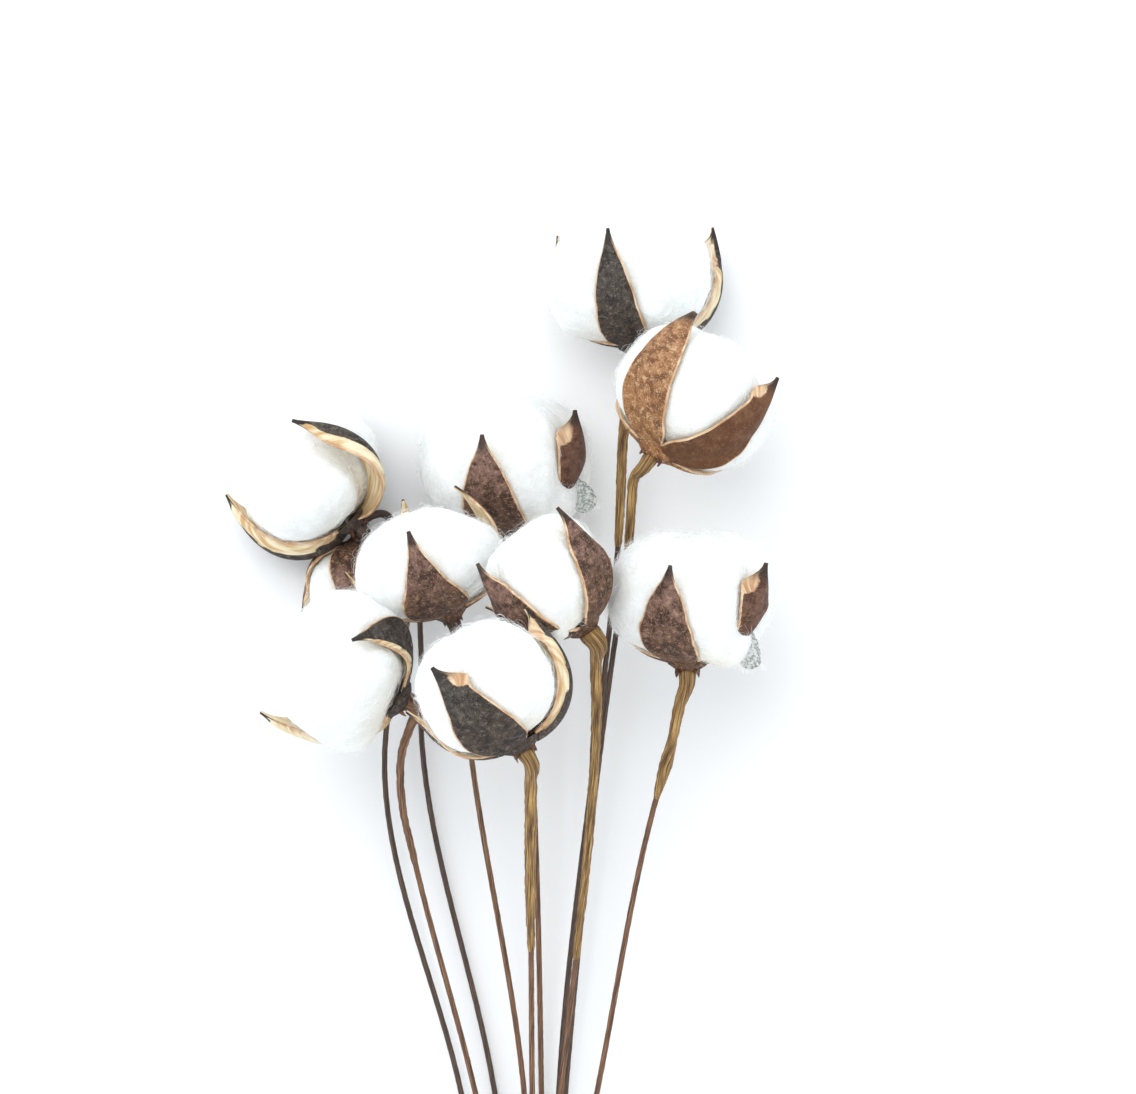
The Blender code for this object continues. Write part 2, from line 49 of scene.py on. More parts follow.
# The bunch's dimensions, in millimetres, as the CAD model has them.
STALK_GAP = 0.6  # air between a bur and its stalk
RECEPTACLE_FOOT = -1.6  # height of the receptacle's foot, from the boll's base
LINT_GAP = 1.35  # air between the lint and the inside of a valve
LINT_FLOOR = 3.4  # height of the lint's lowest point above the boll's base
LINT_FULLNESS = 2.3  # exponent of the lint's outline: 2 is an ellipse, more is plumper
GROOVE_DEPTH = 0.20  # of the lint's radius, under each valve
GROOVE_WIDTH = 21.0  # degrees of azimuth from its middle to half way up its wall
CROWN_DIMPLE = 0.10  # of the radius, where the lobes meet on top
LOBE_UNEVENNESS = 0.035  # of the radius
VALVE_EDGE = 0.8  # thickness of a valve at its edge
VALVE_BACK = 2.0  # thickness along its middle
SLIM_HALF_WIDTH = 3.0  # half width under which a valve thins out towards its beak
VALVE_ROOT_POLAR = 13.0  # degrees from the boll's base, where the valves leave the receptacle
BEAK_SHARE = 0.78  # where along a valve the beak starts
BEAK_FLARE = 3.2  # how far the beak curves out past the rest of the valve
GROOVE_BRIDGE = 0.15  # how far a valve rises out of its groove, as a share of the groove's depth
FULL_HALF_HEIGHT = 20.0  # half height of a boll whose small parts have their full size
# Heights and radii of the receptacle, from its foot to its top. The foot keeps its radii on a
# small boll.
RECEPTACLE_HEIGHTS = (RECEPTACLE_FOOT - 0.4, RECEPTACLE_FOOT, -0.6, 0.6, LINT_FLOOR - LINT_GAP)
RECEPTACLE_FOOT_RADII = (1.6, 2.4)
RECEPTACLE_RADII = (4.2, 6.0, 6.6)
# Heights, radii and half widths of a dried calyx scrap, at shares of its length.
CALYX_HEIGHTS = ((0.0, 0.5, 1.0), (0.6, -1.5, -3.2))
CALYX_RADII = ((0.0, 0.5, 1.0), (3.2, 3.9, 4.1))
CALYX_HALF_WIDTHS = ((0.0, 0.3, 0.7, 1.0), (2.5, 2.4, 1.5, 0.5))
CALYX_THICKNESS = 0.5
CALYX_CRUMPLE = 0.35
STALK_TOP_RADII = (2.3, 2.1)
STEM_RADIUS = 0.95
STEM_SIDES_OF_CAD = 6
GATHER_Y = -175.0  # where the stems lie side by side
GATHER_X = 12.0
STEM_SPACING = 2 * STEM_RADIUS + 0.5
BOTTOM_STEMS = 4  # stems that lie on the table; each row above has one fewer
APPROACH_LENGTH = 24.0  # over which the stems bend into line
APPROACH_SHARE = 0.10  # of their distance from the line that is left at its start
STALK_LEAD = 3.0  # straight run of a stalk under its bur

# Outlines of the valves: half widths, as shares of the widest, at shares of a valve's length.
OUTLINE_SHARES = (0.0, 0.12, 0.35, 0.55, 0.72, 0.84, 0.93, 1.0)
OUTLINES = {
    "blade": (0.50, 0.88, 1.0, 0.93, 0.72, 0.42, 0.14, 0.04),
    "spade": (0.50, 0.96, 1.0, 0.77, 0.48, 0.25, 0.11, 0.04),
    "blunt": (0.50, 0.84, 1.0, 0.98, 0.82, 0.60, 0.30, 0.08),
    "broad": (0.40, 0.60, 0.96, 1.0, 0.78, 0.46, 0.15, 0.04),
    "leaf": (0.32, 0.32, 0.34, 0.58, 1.0, 0.68, 0.18, 0.04),
}
WING_SHARE = 6 / 7  # where along a valve its margin flares into a wing
WING_SPREAD = 0.07
DENT_WIDTH = 38.0  # degrees round the boll over which the lint keeps back from a valve

# How finely each piece is divided.
LINT_ROWS = 72
LINT_COLUMNS = 132
VALVE_STATIONS = 40
VALVE_COLUMNS = 14
STALK_SIDES = 20
STALK_STEP = 0.55
STEM_SIDES = 10
STEM_STEP = 1.6
RECEPTACLE_ROWS = 17
RECEPTACLE_SIDES = 40
CALYX_STATIONS = 9
CALYX_COLUMNS = 5
TUFT_ROWS = 22
TUFT_SIDES = 20
FIBRE_POINTS = 6

# Relief of the cotton and of the burs, in millimetres.
SEAM_DEPTH = 0.9  # of the lines where the lobes meet under the valves
SEAM_WIDTH = 0.10  # in radians
FULL_SPILL = 0.5  # height of a spill that fills the seam
PILLOW = (9.0, 0.75)  # size and height of the cotton's broad swells
SWIRL = (5.0, 0.8)  # size and strength of what bends its locks
LOCK = (3.4, 0.24)
WISP = (1.3, 0.08)
RAISED_MARGIN = 0.7  # by which a rolled margin stands out
MIDRIB = (0.75, 0.13)  # height inside a valve, and width as a share of its half width
RIM_BULGE = 0.3
CORK_REACH = 0.55  # from a valve's edge
CORK_ON_WING = 1.6  # flare at which a wing is corky all over

# Loose fibres.
FIBRES_PER_BOLL = 5200
FULL_HALF_WIDTH = 25.0  # half width of a boll with as many
FIBRE_WIDTH = 0.09  # a cotton fibre is 0.02 mm thick; drawn coarser, so that it shows
FIBRE_LENGTH = (3.0, 1.7)  # shape and scale of how their lengths spread, in millimetres
FIBRE_BEND = 1.3  # spread, in radians from end to end
FIBRE_LIFT = (1.3, 0.42)  # shape and scale of how far they stand off the cotton
FLYAWAY_SHARE = 0.06  # of them, which stand further off
FLYAWAY_LIFT = (0.3, 1.6)
TUFT_FIBRES = 500
TUFT_FIBRE_LENGTH = 2.6

# Wrapping tape: its pitch, the step where it overlaps and its crinkle, in millimetres.
STALK_WINDING = (22.0, 0.08, 0.22)
STEM_WINDING = (7.0, 0.06, 0.07)
GRAIN_SLANT = 0.04  # sideways run of the tape's wrinkles, as a share of their length


@dataclass
class Valve:
    """One segment of a bur, placed round the boll."""

    azimuth: float  # degrees round the boll, 0 facing up and positive to the right of its axis
    reach: float = 122.0  # polar angle of the tip, 0 at the base and 180 at the lint's top
    width: float = 7.5  # half of its widest, mm
    lean: float = 0.0  # degrees that the tip swings sideways
    gape: float = 1.5  # mm that it stands off the lint below the beak
    turn: float = 0.0  # degrees that it is turned to bring its inside up
    hollow: float = 0.0  # mm that its middle stands out past its margins, like a boat
    wing: float = 0.0  # mm that a margin flares below the beak, negative on the left
    dent: float = 0.0  # share of the lint's radius that the lint keeps back from it
    form: str = "blade"


@dataclass
class Boll:
    """One boll with its stalk and stem. Lengths are in millimetres."""

    name: str
    base: tuple  # where the stalk meets the bur
    axis: tuple  # the way the boll points
    half_width: float
    half_height: float
    valves: list
    stalk: list  # points that the stalk passes after the base, and its radius there
    stem: list  # points that the stem passes before the gathering
    slot: tuple  # column and row in the gathered stems
    end_y: float
    phase: float = 0.0  # sets where this boll's lobes are uneven
    bur: str = "brown"


BOLLS = [
    Boll(
        "top", (44, 171, 24.5), (-0.08, 1.0, 0.0), 27.0, 20.5,
        [
            Valve(-15, 120, 7.0), Valve(110, 116, 6.5, gape=2.5, hollow=3.0, wing=-7.5, dent=0.12),
            Valve(160), Valve(-112),
        ],
        [(41.5, 160, 23, 1.8), (39.4, 146, 21, 1.7), (38.4, 125, 18.5, 1.6), (37.6, 109, 17, 1.3)],
        [(34, 74, 14), (18.4, -68, 6)], (3, 0), -209, phase=0.3, bur="charcoal",
    ),
    Boll(
        "upper_right", (48.5, 137, 55.6), (0.55, 0.80, -0.22), 26.5, 20.0,
        [
            Valve(-38, 132, 8.8, lean=-6, form="blunt"), Valve(46, 126, 8.2, lean=8, wing=-3.0),
            Valve(132, 112), Valve(-134, 104),
        ],
        [(42.8, 130, 52, 1.7), (41.6, 120, 47, 1.6), (40.6, 105, 42, 1.4)],
        [(36, 74, 34), (20.6, -68, 15)], (2, 1), -205, phase=1.9, bur="copper",
    ),
    Boll(
        "upper_middle", (4, 112, 23.1), (-0.10, 1.0, 0.0), 27.5, 20.5,
        [
            Valve(-20, 106, 8.6, lean=6), Valve(54, 116, 8.6, lean=4, wing=-4.5, form="leaf"),
            Valve(138), Valve(-118, 104),
        ],
        [(5.5, 100, 23, 1.8), (6.5, 86, 21.5, 1.6), (8, 70, 20, 1.3)],
        [(10.5, 20, 15), (12.6, -68, 7)], (2, 0), -212, phase=3.1,
    ),
    Boll(
        "upper_left", (-47.5, 114.5, 22.6), (-0.70, 0.71, 0.0), 24.5, 18.0,
        [
            Valve(56, 126, 7.4, lean=-32, gape=2.0, turn=66, hollow=3.0, dent=0.10),
            Valve(-110, 122, 7.6, gape=3.0, hollow=5.0, dent=0.14), Valve(130), Valve(-160, 108),
        ],
        [(-40, 107, 22.4, 1.8), (-32.6, 99.5, 20, 1.6), (-30.6, 87, 16, 1.3)],
        [(-33.5, 70, 13), (-37.3, 51, 11), (-14, -68, 5.4)],
        (0, 0), -214, phase=4.4, bur="charcoal",
    ),
    Boll(
        "small", (-46.5, 109.4, 13.0), (-0.1, -1.0, 0.0), 14.5, 12.5,
        [Valve(10, 112, 6.0), Valve(-104, 120, 4.5, gape=2.0), Valve(104), Valve(180, width=5.0)],
        [(-44.5, 116.2, 12.3, 1.4), (-39, 118, 11, 1.3), (-33, 111, 9, 1.2)],
        [(-28.2, 95, 7), (-26.6, 75, 5.6), (-26.6, 50, 4.6), (-3, -68, 2.6)],
        (1, 0), -207, phase=5.2,
    ),
    Boll(
        "middle", (-16, 85, 57.0), (-0.33, 0.94, 0.0), 24.2, 16.5,
        [
            Valve(-12, 112, 9.2, lean=4, form="spade"), Valve(124, 142, 6.8, lean=-24, gape=2.0),
            Valve(-168, 150, 6.4), Valve(-98, 100, 5.6),
        ],
        [(-13.8, 75, 54, 2.2), (-13, 63, 50, 1.8), (-11, 50, 45.5, 1.3)],
        [(-9.8, 40, 42.5), (6.9, -68, 15)], (1, 1), -203, phase=0.9,
    ),
    Boll(
        "middle_right", (27.3, 81, 77.2), (-0.6, 0.8, 0.0), 19.0, 18.0,
        [
            Valve(-56, 132, 9.2, form="broad"), Valve(52, 128, 8.4), Valve(-108, 100, 5.4),
            Valve(132, 112, 6.4), Valve(-164, 104, 6.2),
        ],
        [(30.2, 71, 73, 1.9), (30.4, 58, 68, 1.8), (28.5, 20, 52, 1.5), (24, -24, 37, 1.2)],
        [(19, -68, 23)], (0, 2), -211, phase=2.6,
    ),
    Boll(
        "right", (59.5, 69, 58), (0.03, 1.0, 0.0), 26.5, 20.5,
        [
            Valve(-24, 107, 8.4, lean=10), Valve(54, 110, 8.6, lean=4, wing=-4.5, form="leaf"),
            Valve(140), Valve(-112, 110),
        ],
        [(57.4, 58, 56, 2.0), (54.8, 46, 53, 1.6), (52.5, 37, 50, 2.2), (50, 28, 47, 1.2)],
        [(30.9, -68, 23)], (1, 2), -206, phase=3.8,
    ),
    Boll(
        "lower_left", (-31.2, 58, 70.8), (-0.87, 0.49, 0.0), 23.5, 20.0,
        [
            Valve(80, 90, 7.4, lean=-60, gape=2.5, turn=20),
            Valve(-124, 120, 6.6, lean=30, gape=2.0, hollow=2.0, turn=20, dent=0.10),
            Valve(136, 96), Valve(-172),
        ],
        [(-28.5, 51.0, 68, 1.5), (-31.6, 42, 64, 1.3), (-31.6, 24, 56, 1.2), (-28, 7, 48.4, 1.1)],
        [(-9.1, -68, 19)], (0, 1), -201, phase=4.9, bur="charcoal",
    ),
    Boll(
        "front", (7, 44, 103.4), (-0.49, 0.87, 0.0), 23.5, 20.0,
        [
            Valve(-20, 118, 8.6, lean=-10, wing=4.0),
            Valve(108, 122, 7.4, gape=2.0, hollow=4.0, wing=-3.0, dent=0.15),
            Valve(-100, 100), Valve(142, 96), Valve(-158),
        ],
        [(9.6, 34, 98, 2.0), (9.4, 18, 90, 1.9), (9.3, -2, 79, 1.7), (9.5, -20, 68, 1.2)],
        [(9.8, -68, 44)], (0, 3), -213, phase=1.4, bur="charcoal",
    ),
]

# Where cotton spills over a valve, or keeps low: its middle (degrees round and from the base),
# its half width and half height in degrees, and its height in millimetres.
SPILLS = {
    "upper_middle": [(56, 44, 30, 24, 8.0)],
    "right": [(56, 40, 30, 22, 8.0), (-72, 62, 24, 26, 3.0)],
    "top": [(-92, 52, 26, 26, 3.5)],
    "middle": [(92, 128, 42, 30, -6.0), (-75, 70, 22, 22, 2.5)],
    "middle_right": [(-46, 38, 22, 16, 5.5)],
    "lower_left": [(-104, 48, 34, 26, 6.0)],
}

# Margins rolled out so that the pale lining shows, by boll and place of the valve: the side that
# rolls, negative on the left, and how far its pale part reaches across, in millimetres.
ROLLS = {
    ("top", 1): (-1, 1.9),
    ("upper_left", 0): (-1, 2.4),
    ("upper_left", 1): (1, 2.6),
    ("lower_left", 0): (-1, 1.2),
    ("lower_left", 1): (1, 5.0),
    ("front", 1): (-1, 2.2),
}

# How much redder and darker single valves are, by boll and place.
TONES = {("upper_right", 1): 0.8, ("right", 1): 0.45, ("upper_middle", 1): 0.55}

# How much wider than its wrap a stalk's dried sheath is under the bur.
SHEATHS = {"middle_right": 1.6, "right": 1.25, "front": 1.2, "upper_right": 1.1}

# Torn flaps of cotton: name, where each hangs from, its tip and its half width, in millimetres.
TUFTS = [
    ("upper_middle", (21.5, 130.0, 33.0), (28.8, 119.0, 30.0), 4.6),
    ("right", (77.6, 81.5, 68.0), (80.2, 68.2, 66.0), 4.2),
]

# Tape on each stalk and on each stem.
WRAPS = {
    "top": ("golden", "dark"),
    "upper_right": ("golden", "dark"),
    "upper_middle": ("brown", "brown"),
    "upper_left": ("dark", "dark"),
    "small": ("dark", "dark"),
    "middle": ("dark", "brown"),
    "middle_right": ("golden", "brown"),
    "right": ("golden", "brown"),
    "lower_left": ("brown", "brown"),
    "front": ("golden", "brown"),
}

# Dark, middle, warm and flecked colours of the burs.
BUR_COLOURS = {
    "charcoal": ("#241f1c", "#464039", "#45382f", "#7d726a"),
    "brown": ("#38251c", "#7a5d52", "#5f4331", "#b38e75"),
    "copper": ("#6c4227", "#aa7d58", "#96683f", "#dfbb93"),
}

# Dark, middle and light colours of the tapes, and how far the overlap darkens them.
TAPE_LOOKS = {
    "golden": ("#4e3519", "#8f6c3b", "#cba668", 0.35),
    "brown": ("#432c20", "#745138", "#9b7450", 0.35),
    "dark": ("#33261f", "#4f3c30", "#725844", 0.5),
}

# The studio, in metres and watts.
TABLE_HALF_WIDTH = 4.0
SKY_STRENGTH = 1.1
LAMP_PLACE = (-0.35, 0.75, 1.6)
LAMP_SIZE = 1.2
LAMP_POWER = 11.0
AIM = (0.02128, 0.1072, 0.055)
CAMERA_HEIGHT = 3.0
VIEW_WIDTH = 0.3635


def smooth_route(points, steps):
    """Points along a smooth curve through the given ones, with so many steps in each span."""
    points = [np.array(point, float) for point in points]
    chords = [after - before for before, after in zip(points, points[1:])]
    lengths = [np.linalg.norm(chord) for chord in chords]
    headings = [chord / length for chord, length in zip(chords, lengths)]
    tangents = [headings[0]]
    for k in range(1, len(chords)):
        before, after = lengths[k - 1], lengths[k]
        tangents.append((headings[k - 1] * after + headings[k] * before) / (before + after))
    tangents.append(headings[-1])
    found = [points[0]]
    for k, count in enumerate(steps):
        for step in range(1, count + 1):
            t = step / count
            found.append(
                (1 - t) ** 2 * (1 + 2 * t) * points[k]
                + t**2 * (3 - 2 * t) * points[k + 1]
                + lengths[k] * t * (1 - t) * ((1 - t) * tangents[k] - t * tangents[k + 1])
            )
    return found


class Frame:
    """A boll's own directions: up its axis, towards the viewer above and to the right."""

    def __init__(self, boll):
        self.base = np.array(boll.base, float)
        self.axis = np.array(boll.axis, float)
        self.axis /= np.linalg.norm(self.axis)
        front = np.array((0.0, 0.0, 1.0)) - self.axis[2] * self.axis
        self.front = front / np.linalg.norm(front)
        self.right = np.cross(self.axis, self.front)
        self.centre = self.base + self.axis * (LINT_FLOOR + boll.half_height)

    def around(self, azimuth):
        """Unit vectors square to the axis, at azimuths in radians."""
        azimuth = np.asarray(azimuth, float)[..., None]
        return np.cos(azimuth) * self.front + np.sin(azimuth) * self.right

    def point(self, along, radius, azimuth):
        """World points at a height above the base, a distance from the axis and an azimuth."""
        along, radius = np.asarray(along, float)[..., None], np.asarray(radius, float)[..., None]
        return self.base + along * self.axis + radius * self.around(azimuth)

    def direction(self, azimuth, polar):
        """Unit vectors from the lint's centre, polar angle 0 pointing to the base."""
        polar = np.asarray(polar, float)[..., None]
        return np.sin(polar) * self.around(azimuth) - np.cos(polar) * self.axis

    def angles(self, points):
        """Azimuths, polar angles and distances of world points from the lint's centre."""
        offset = points - self.centre
        distance = np.linalg.norm(offset, axis=-1)
        azimuth = np.arctan2(offset @ self.right, offset @ self.front)
        return azimuth, np.arccos(np.clip(-(offset @ self.axis) / distance, -1.0, 1.0)), distance


def groove_middle(valve, polar):
    """Azimuth of the middle of a valve's groove at a polar angle; it leans with the valve."""
    share = (np.degrees(polar) - VALVE_ROOT_POLAR) / (valve.reach - VALVE_ROOT_POLAR)
    return np.radians(valve.azimuth + valve.lean * np.clip(share, 0.0, 1.0) ** 2)


def apart_from(valve, azimuth, polar):
    """Angle round the boll from a direction to the middle of a valve's groove."""
    turned = azimuth - groove_middle(valve, polar) + math.pi
    return np.abs(np.mod(turned, math.tau) - math.pi)


def lint_radius(boll, azimuth, polar):
    """Distance of the lint's surface from its centre, in a direction."""
    across = np.abs(np.sin(polar)) / boll.half_width
    along = np.abs(np.cos(polar)) / boll.half_height
    radius = (across**LINT_FULLNESS + along**LINT_FULLNESS) ** (-1 / LINT_FULLNESS)
    groove, dent = 0.0, 0.0
    for valve in boll.valves:
        apart = apart_from(valve, azimuth, polar)
        groove = np.maximum(groove, np.exp(-((apart / math.radians(GROOVE_WIDTH)) ** 4)))
        dent = np.maximum(dent, valve.dent * np.exp(-((apart / math.radians(DENT_WIDTH)) ** 2)))
    groove = groove * GROOVE_DEPTH * (0.75 + 0.25 * np.cos(polar))
    groove = (groove + dent) * np.abs(np.sin(polar)) ** 1.5
    dimple = CROWN_DIMPLE * np.exp(-(((math.pi - polar) / 0.5) ** 2))
    uneven = np.sin(2 * azimuth + boll.phase) * np.cos(1.5 * polar + 2 * boll.phase)
    uneven = uneven + np.sin(azimuth + 3 * boll.phase)
    return radius * (1 - groove - dimple + LOBE_UNEVENNESS * uneven * np.sin(polar))


def valve_half_width(valve, share):
    """Half width of a valve at shares of its length, with its corners eased."""
    widths = OUTLINES[valve.form]
    eased = [np.interp(share + step, OUTLINE_SHARES, widths) for step in (-0.04, 0.0, 0.04)]
    return valve.width * sum(eased) / len(eased)


def valve_spine(boll, own, valve, share):
    """Points on the middle of a valve's inside, at shares of its length."""
    root, tip = math.radians(VALVE_ROOT_POLAR), math.radians(valve.reach)
    polar = root + (tip - root) * share
    azimuth = np.radians(valve.azimuth + valve.lean * share**2)
    edge = math.radians(GROOVE_WIDTH)
    near = lint_radius(boll, azimuth, polar)
    lint = np.maximum(near, lint_radius(boll, azimuth - edge, polar))
    lint = np.maximum(lint, lint_radius(boll, azimuth + edge, polar))
    bridged = near + (lint - near) * GROOVE_BRIDGE * np.sin(polar)
    beak = np.clip((share - BEAK_SHARE) / (1 - BEAK_SHARE), 0.0, None)
    off = LINT_GAP + valve.gape * share**2 + BEAK_FLARE * beak**1.6
    off = off + valve.dent * boll.half_width * np.abs(np.sin(polar)) ** 1.5
    return own.centre + (bridged + off)[..., None] * own.direction(azimuth, polar)


def pushed_out(boll, own, points, clearance):
    """The points, moved away from the lint's centre until they are clear of the lint."""
    azimuth, polar, distance = own.angles(points)
    least = lint_radius(boll, azimuth, polar) + clearance
    grown = np.maximum(1.0, least / distance)[..., None]
    return own.centre + (points - own.centre) * grown


def unit(vectors):
    return vectors / np.linalg.norm(vectors, axis=-1, keepdims=True)


def dots(first, second):
    return (first * second).sum(-1, keepdims=True)


def make_piece(name, points, faces, material, marks=None):
    """A smooth-shaded mesh from points in millimetres, pressed flat where it meets the table.

    marks are values on the points that the material reads, as name to an array with one or three
    numbers for each point.
    """
    points = np.array(points, float).reshape(-1, 3)
    points[:, 2] = np.maximum(points[:, 2], 0.0)
    mesh = bpy.data.meshes.new(name)
    mesh.from_pydata((points * MM).tolist(), [], faces)
    mesh.materials.append(material)
    for mark, values in (marks or {}).items():
        kind, field = ("FLOAT", "value") if values.ndim == 1 else ("FLOAT_VECTOR", "vector")
        layer = mesh.attributes.new(mark, kind, "POINT")
        layer.data.foreach_set(field, values.astype(np.float32).ravel())
    mesh.shade_smooth()
    mesh.update()
    made = bpy.data.objects.new(name, mesh)
    bpy.context.scene.collection.objects.link(made)
    return made


def skin_faces(rows, columns, start=0):
    """Quads over rows of points that each close on themselves."""
    faces = []
    for row in range(rows - 1):
        low = start + row * columns
        high = low + columns
        for column in range(columns):
            after = (column + 1) % columns
            faces.append((low + column, low + after, high + after, high + column))
    return faces


def cap_faces(rows, columns, start=0):
    """One face over each end of a skin."""
    last = start + (rows - 1) * columns
    return [
        tuple(range(start + columns - 1, start - 1, -1)),
        tuple(range(last, last + columns)),
    ]


def soft_relief(points, seed):
    """Height of the cotton at points in millimetres: broad pillows, then locks, then wisps."""
    noise.seed_set(1 + seed)  # noise_vector reads it, and without it differs in each run
    shift = Vector((seed * 17.0, seed * 5.0, seed * 11.0))
    heights = []
    for point in points:
        spot = Vector(point) + shift
        swirl = noise.noise_vector(spot / SWIRL[0]) * SWIRL[1]
        pillow = noise.noise(spot / PILLOW[0])
        lock = 1.0 - 2.0 * abs(noise.noise(spot / LOCK[0] + swirl))
        wisp = noise.noise(spot / WISP[0] + swirl * 2.0)
        heights.append(PILLOW[1] * pillow + LOCK[1] * lock + WISP[1] * wisp)
    return np.array(heights)


def cotton_radius(boll, azimuth, polar):
    """The lint's radius with its seams, and where the cotton has spilled over a valve."""
    radius = lint_radius(boll, azimuth, polar)
    apart = np.min([apart_from(valve, azimuth, polar) for valve in boll.valves], axis=0)
    seam = np.exp(-((apart / SEAM_WIDTH) ** 2)) * np.sin(polar) ** 2
    spill = 0.0
    for *place, height in SPILLS.get(boll.name, []):
        across, down, wide, tall = np.radians(place)
        turned = np.mod(azimuth - across + math.pi, math.tau) - math.pi
        spill = spill + height * np.exp(-((turned / wide) ** 2) - ((polar - down) / tall) ** 2)
    return radius - SEAM_DEPTH * seam * (spill < FULL_SPILL) + spill


def build_lint(boll, own, seed):
    """The white cotton: soft lobes that swell between the valves."""
    polar = np.linspace(0.02, math.pi - 0.02, LINT_ROWS)[:, None] * np.ones((1, LINT_COLUMNS))
    azimuth = np.linspace(0.0, math.tau, LINT_COLUMNS, endpoint=False) * np.ones((LINT_ROWS, 1))
    radius = cotton_radius(boll, azimuth, polar)
    points = own.centre + radius[..., None] * own.direction(azimuth, polar)
    points = points.reshape(-1, 3)
    points = points + soft_relief(points, seed)[:, None] * unit(points - own.centre)
    faces = skin_faces(LINT_ROWS, LINT_COLUMNS) + cap_faces(LINT_ROWS, LINT_COLUMNS)
    # The share of the way up from the base, which the cotton's painted shade by the bur reads.
    marks = {"height": (polar / math.pi).reshape(-1)}
    made = make_piece(f"cotton_{boll.name}", points, faces, COTTON, marks)
    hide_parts(f"lint_{boll.name}")
    return made


def ribbon_faces(count, stations):
    """Quads of so many separate ribbons, each with two points at every station."""
    start = np.arange(count)[:, None] * (2 * stations)
    step = np.arange(stations - 1)[None, :] * 2
    first = (start + step).reshape(-1)
    return np.stack([first, first + 1, first + 3, first + 2], 1).tolist()


def ribbons(paths, width, rng):
    """Thin ribbons along paths, an array of fibres by stations by xyz."""
    along = unit(np.gradient(paths, axis=1) + 1e-9)
    spin = unit(rng.normal(size=(len(paths), 1, 3)))
    side = unit(np.cross(along, spin) + 1e-9)
    taper = np.sin(np.linspace(0.25, math.pi - 0.12, paths.shape[1]))[None, :, None]
    half = 0.5 * width * taper * side
    return np.stack([paths - half, paths + half], 2).reshape(-1, 3)


def build_fluff(boll, own, seed):
    """Loose fibres that lie on the cotton and lift off it a little."""
    rng = np.random.default_rng(900 + seed)
    size = boll.half_width / FULL_HALF_WIDTH
    count = int(FIBRES_PER_BOLL * size**2)
    azimuth = rng.uniform(0, math.tau, count)
    polar = np.arccos(rng.uniform(-0.97, 0.9, count))
    heading = rng.uniform(0, math.tau, count)
    bend = rng.normal(0, FIBRE_BEND, count)
    length = rng.gamma(*FIBRE_LENGTH, count) / boll.half_width
    lift = rng.gamma(*FIBRE_LIFT, count)
    flyaway = rng.uniform(0, 1, count) < FLYAWAY_SHARE
    lift = np.where(flyaway, lift + rng.uniform(*FLYAWAY_LIFT, count), lift)
    t = np.linspace(0, 1, FIBRE_POINTS)[None, :]
    turned = heading[:, None] + bend[:, None] * t
    step = length[:, None] / (FIBRE_POINTS - 1)
    go_polar = np.cumsum(np.cos(turned) * step, axis=1)
    go_azimuth = np.cumsum(np.sin(turned) * step, axis=1)
    polar = np.clip(polar[:, None] + go_polar, 0.12, math.pi - 0.06)
    azimuth = azimuth[:, None] + go_azimuth / np.maximum(0.25, np.sin(polar))
    raised = lift[:, None] * np.sin(math.pi * (0.12 + 0.76 * t)) + 0.12
    radius = cotton_radius(boll, azimuth, polar) + raised
    paths = own.centre + radius[..., None] * own.direction(azimuth, polar)
    points = ribbons(paths, FIBRE_WIDTH, rng)
    made = make_piece(f"fluff_{boll.name}", points, ribbon_faces(count, FIBRE_POINTS), FLUFF)
    return made


def valve_directions(own, valve, spine, share):
    """Unit vectors across a valve and out of it, all along, as the valve is turned."""
    ahead = np.concatenate([spine[1:], spine[-1:]])
    behind = np.concatenate([spine[:1], spine[:-1]])
    along = unit(ahead - behind)
    radial = spine - own.centre
    out = unit(radial - dots(radial, along) * along)
    side = np.cross(along, out)
    wanted = own.direction(math.radians(valve.azimuth + 90), math.pi / 2)
    side = np.where((side @ wanted)[:, None] < 0, -side, side)
    turn = math.radians(valve.turn) * np.sin(math.pi * np.minimum(1.0, 0.15 + share))[:, None]
    turn = turn * -math.copysign(1.0, math.sin(math.radians(valve.azimuth)))
    return np.cos(turn) * side + np.sin(turn) * out, np.cos(turn) * out - np.sin(turn) * side


def rolled_margin(roll, seed, share, v, half):
    """How pale a rolled margin makes each point of a valve's outside, and how far it stands out."""
    roll_side, roll_width = roll
    ragged = np.array([1 + 0.3 * noise.noise(Vector((s * 12.0, seed * 1.7, 3.0))) for s in share])
    ragged = ragged * np.sin(math.pi * np.clip(share * 1.05, 0.0, 1.0)) ** 0.6
    from_roll = (1 - v * roll_side) * half
    pale = np.clip((roll_width * ragged[:, None] - from_roll) / 0.5 + 0.5, 0.0, 1.0)
    pale = pale * (roll_width > 0)
    return pale, RAISED_MARGIN * np.sqrt(pale) * (from_roll > 0.4)


